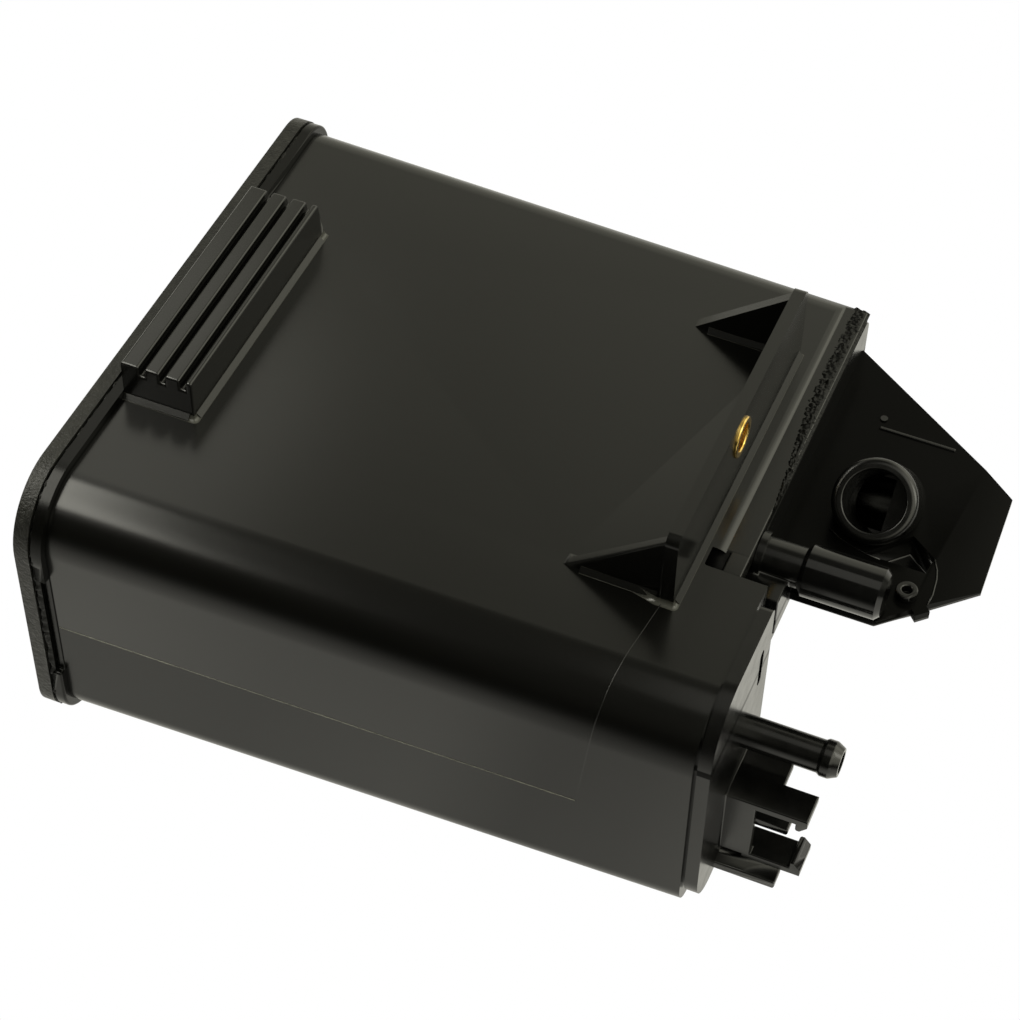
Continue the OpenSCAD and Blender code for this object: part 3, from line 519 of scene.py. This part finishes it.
fillet("padFillet", [(pad["x0"], pad["y0"]), (pad["x1"], pad["y0"]), (pad["x1"], pad["y1"])], pad["fillet"])
fillet("railFillet", [(rail["gussetX"], rail["gussetY0"]), (rail["x0"] - rail["blend"], rail["gussetY0"]),
                      (rail["x0"], rail["y0"]), (rail["x1"], rail["y0"]), (rail["x1"], rail["y1"])],
       rail["fillet"])
fillet("gussetFillet", [(rail["gussetX"], rail["gussetY1"]), (rail["x0"], rail["gussetY1"])], rail["fillet"])

crumbBand("coverWeld", coverFlash, coverLoop, weldFlash)
crumbBand("ventWeld", ventFlash, ventLoop, weldFlash)

# melted shoulder on top of the vent cap, narrower beside the pocket
frontEnd = shoulder["pocketY"] + shoulder["lap"]
for name, x0, y0, y1 in (("ventShoulder", shoulder["x0"], shoulder["pocketY"], shoulder["y1"]),
                         ("ventShoulderFront", shoulder["pocketX"], shoulder["y0"], frontEnd)):
    bm = block((x0, shoulder["x1"]), (y0, y1), (shoulder["z0"], shoulder["z1"]))
    bmesh.ops.bevel(bm, geom=bm.edges[:], offset=shoulder["bevel"] * mm, offset_type="OFFSET", segments=3,
                    profile=0.5, affect="EDGES", clamp_overlap=True, material=-1)
    piece = finished(name, bm, mouldedNylon)
    piece.modifiers.new("even", "WEIGHTED_NORMAL")
    piece.data.materials.append(weldFlash)
    for face in piece.data.polygons:
        face.material_index = 1 if face.normal.x > 0.3 else 0

# painted shade: a dark matte box set in the shallow pocket stands in for the shade of a deep pocket
bm = block((pocket["x0"], shoulder["pocketX"]), (pocket["y0"], pocket["y1"]), (pocket["z0"], pocket["z1"]))
finished("pocketShade", bm, paintedShadeNylon)

# crumbs on the shoulder, in a strip that widens towards the back
bm = bmesh.new()
lines = []
for i in range(crumbs["rows"] + 1):
    y = crumbs["y0"] + (shoulder["y1"] - crumbs["y0"]) * i / crumbs["rows"]
    left = shoulder["x1"] - 0.5 - (shoulder["x1"] - crumbs["x0"]) * min(1.0, i / crumbs["spread"])
    line = []
    for j in range(crumbs["columns"] + 1):
        across = j / crumbs["columns"]
        point = Vector((left + (shoulder["x1"] + 0.4 - left) * across, y, shoulder["z1"]))
        lump = noise.fractal(point * crumbs["pitch"], 0.8, 2.1, 4)
        edge = min(1.0, 3.0 * min(across, 1 - across))
        point.z += crumbs["height"] * (lump + 0.25) * edge - 0.6 * (1 - edge)
        line.append(bm.verts.new(placed(*point)))
    lines.append(line)
for lineA, lineB in zip(lines, lines[1:]):
    for j in range(crumbs["columns"]):
        bm.faces.new((lineA[j], lineA[j + 1], lineB[j + 1], lineB[j]))
finished("ventCrumbs", bm, weldFlash)

for side in ("collar", "boss"):
    path = [Vector((x, y, plateLines["z"])) for x, y in plateLines[side]]
    tube("plateLine" + side.capitalize(), path, plateLines["r"], 0.0, capNylon)

# the fine mould seam runs along the front face, then up over the round edge to the rail; on the front face
# its pale grey is a painted highlight
seamPath = [Vector((x, -halfW(x), seam["z"])) for x in range(int(seam["x0"]), int(seam["x1"]) + 1)]
tube("mouldSeam", seamPath, seam["r"], seam["rough"], paintedHighlightSeamNylon)
upLoop = [(y, z) for y, z in bodyLoop(seam["x1"], 0.0, seam["step"]) if z > seam["z"] and y < seam["topY"]]
upLoop.sort(key=lambda point: round(point[0] + point[1], 3))
upPath = [seamPath[-1]]
for i, (y, z) in enumerate(upLoop):
    x = seam["x1"] + (seam["xTop"] - seam["x1"]) * (i + 1) / len(upLoop)
    drop = taper * (x - seam["x1"])
    upPath.append(Vector((x, y + drop, z - drop)))
tube("mouldSeamUp", upPath, seam["r"], 0.0, mouldedNylon)
print("weld flash and seam made")

# pale floor, white to the camera; where the object mirrors it the floor glows, graded as painted light and
# shade
ground = {"half": 3.0, "z": -0.0004, "tint": "#fffdf0", "pale": "#f4f4f2",  # lengths in metres
          "sideways": [(-1.2, 0.3), (-0.5, 0.9), (-0.13, 0.93), (-0.07, 0.76), (-0.015, 0.77), (0.02, 0.55),
                       (0.05, 0.62), (0.12, 1.0)],
          "outwards": [(-0.8, 0.06), (-0.4, 0.31), (-0.2, 0.84), (-0.14, 1.06)]}
bm = bmesh.new()
for x, y in ((-1, -1), (1, -1), (1, 1), (-1, 1)):
    bm.verts.new((x * ground["half"], y * ground["half"], ground["z"]))
bm.faces.new(bm.verts)
floorMesh = bpy.data.meshes.new("floor")
bm.to_mesh(floorMesh)
bm.free()
floor = bpy.data.objects.new("floor", floorMesh)
scene.collection.objects.link(floor)
material = bpy.data.materials.new("paleFloor")
material.use_nodes = True
tree = material.node_tree
tree.nodes.clear()
ray = addNode(tree, "ShaderNodeLightPath").outputs
spot = addNode(tree, "ShaderNodeSeparateXYZ", {0: addNode(tree, "ShaderNodeTexCoord").outputs["Object"]})


def stops(tree, value, low, high, marks):
    # brightness along one axis of the floor, in metres, from a few marks
    part = addNode(tree, "ShaderNodeMapRange", {0: value, 1: low, 2: high})
    strip = addNode(tree, "ShaderNodeValToRGB", {0: part.outputs[0]})
    band = strip.color_ramp.elements
    while len(band) < len(marks):
        band.new(0.5)
    for mark, (at, bright) in zip(band, marks):
        mark.position = (at - low) / (high - low)
        mark.color = (bright, bright, bright, 1.0)
    return strip.outputs[0]


sideways = stops(tree, spot.outputs[0], -1.2, 0.4, ground["sideways"])
outwards = stops(tree, spot.outputs[1], -0.8, 0.0, ground["outwards"])
mirrored = combined(tree, "MULTIPLY", sideways, outwards)
shown = addNode(tree, "ShaderNodeMix", {0: ray["Is Camera Ray"], 2: mirrored, 3: 1.0}).outputs[0]
tint = toned(tree, ray["Is Camera Ray"], ground["tint"], "#ffffff")
seen = combined(tree, "MAXIMUM", ray["Is Camera Ray"], ray["Is Glossy Ray"])
pale = addNode(tree, "ShaderNodeBsdfDiffuse", {"Color": linearColor(ground["pale"])}).outputs[0]
white = addNode(tree, "ShaderNodeEmission", {"Color": tint, "Strength": shown}).outputs[0]
mix = addNode(tree, "ShaderNodeMixShader", {0: seen, 1: pale, 2: white}).outputs[0]
addNode(tree, "ShaderNodeOutputMaterial", {0: mix})
floorMesh.materials.append(material)

# studio surroundings: dark towards the viewer, a soft panel at the back and one at the upper right
world = bpy.data.worlds.new("studio")
scene.world = world
world.use_nodes = True
tree = world.node_tree
tree.nodes.clear()
way = addNode(tree, "ShaderNodeTexCoord").outputs["Generated"]
axes = addNode(tree, "ShaderNodeSeparateXYZ", {0: way}).outputs


def ramp(axis, low, high, top):
    return ranged(tree, axes[axis], low, high, 0.0, top, "SMOOTHSTEP")


backPanel = ramp(1, 0.5, 0.72, 0.74)
overhead = ramp(1, -0.4, 0.6, 0.07)
rightPanel = combined(tree, "MULTIPLY", ramp(0, -0.12, 0.45, 1.6), ramp(2, 0.15, 0.5, 1.0))
behind = combined(tree, "ADD", backPanel, overhead)
lifted = combined(tree, "ADD", behind, combined(tree, "ADD", rightPanel, 0.01))
glow = addNode(tree, "ShaderNodeBackground", {"Color": linearColor("#fffde8"), "Strength": lifted})
addNode(tree, "ShaderNodeOutputWorld", {0: glow.outputs[0]})


def areaLight(name, place, target, size, watts):
    light = bpy.data.lights.new(name, "AREA")
    light.shape = "RECTANGLE"
    light.size, light.size_y = size
    light.energy = watts
    light.color = linearColor("#fffdf0")[:3]
    lamp = bpy.data.objects.new(name, light)
    scene.collection.objects.link(lamp)
    lamp.location = place
    lamp.rotation_euler = (Vector(target) - Vector(place)).to_track_quat("-Z", "Y").to_euler()


areaLight("softboxLeft", (-0.335, -0.16, 0.42), (-0.175, -0.16, 0.05), (0.4, 0.2), 1.85)
areaLight("softboxBack", (-0.31, 0.2, 0.42), (-0.15, 0.2, 0.05), (0.24, 0.2), 0.14)
areaLight("softboxPorts", (0.12, -0.09, 0.42), (0.14, -0.09, 0.05), (0.22, 0.2), 0.09)
areaLight("softboxRight", (0.9, 0.1, 0.7), (0.05, 0.0, 0.05), (0.4, 0.6), 2.5)

# camera found by fitting the housing's edges
camera = bpy.data.cameras.new("camera")
camera.sensor_width = 36.0
camera.lens = 94.575
view = bpy.data.objects.new("camera", camera)
scene.collection.objects.link(view)
right = Vector((0.920408, 0.390671, 0.015028))
down = Vector((0.301213, -0.684094, -0.664294))
ahead = Vector((-0.249240, 0.615948, -0.747320))
pose = Matrix((right, -down, -ahead)).transposed().to_4x4()
pose.translation = Vector((184.4947, -491.9595, 643.6005)) * mm
view.matrix_world = pose
scene.camera = view
scene.view_settings.view_transform = "Standard"
print("stage, lights and camera set")
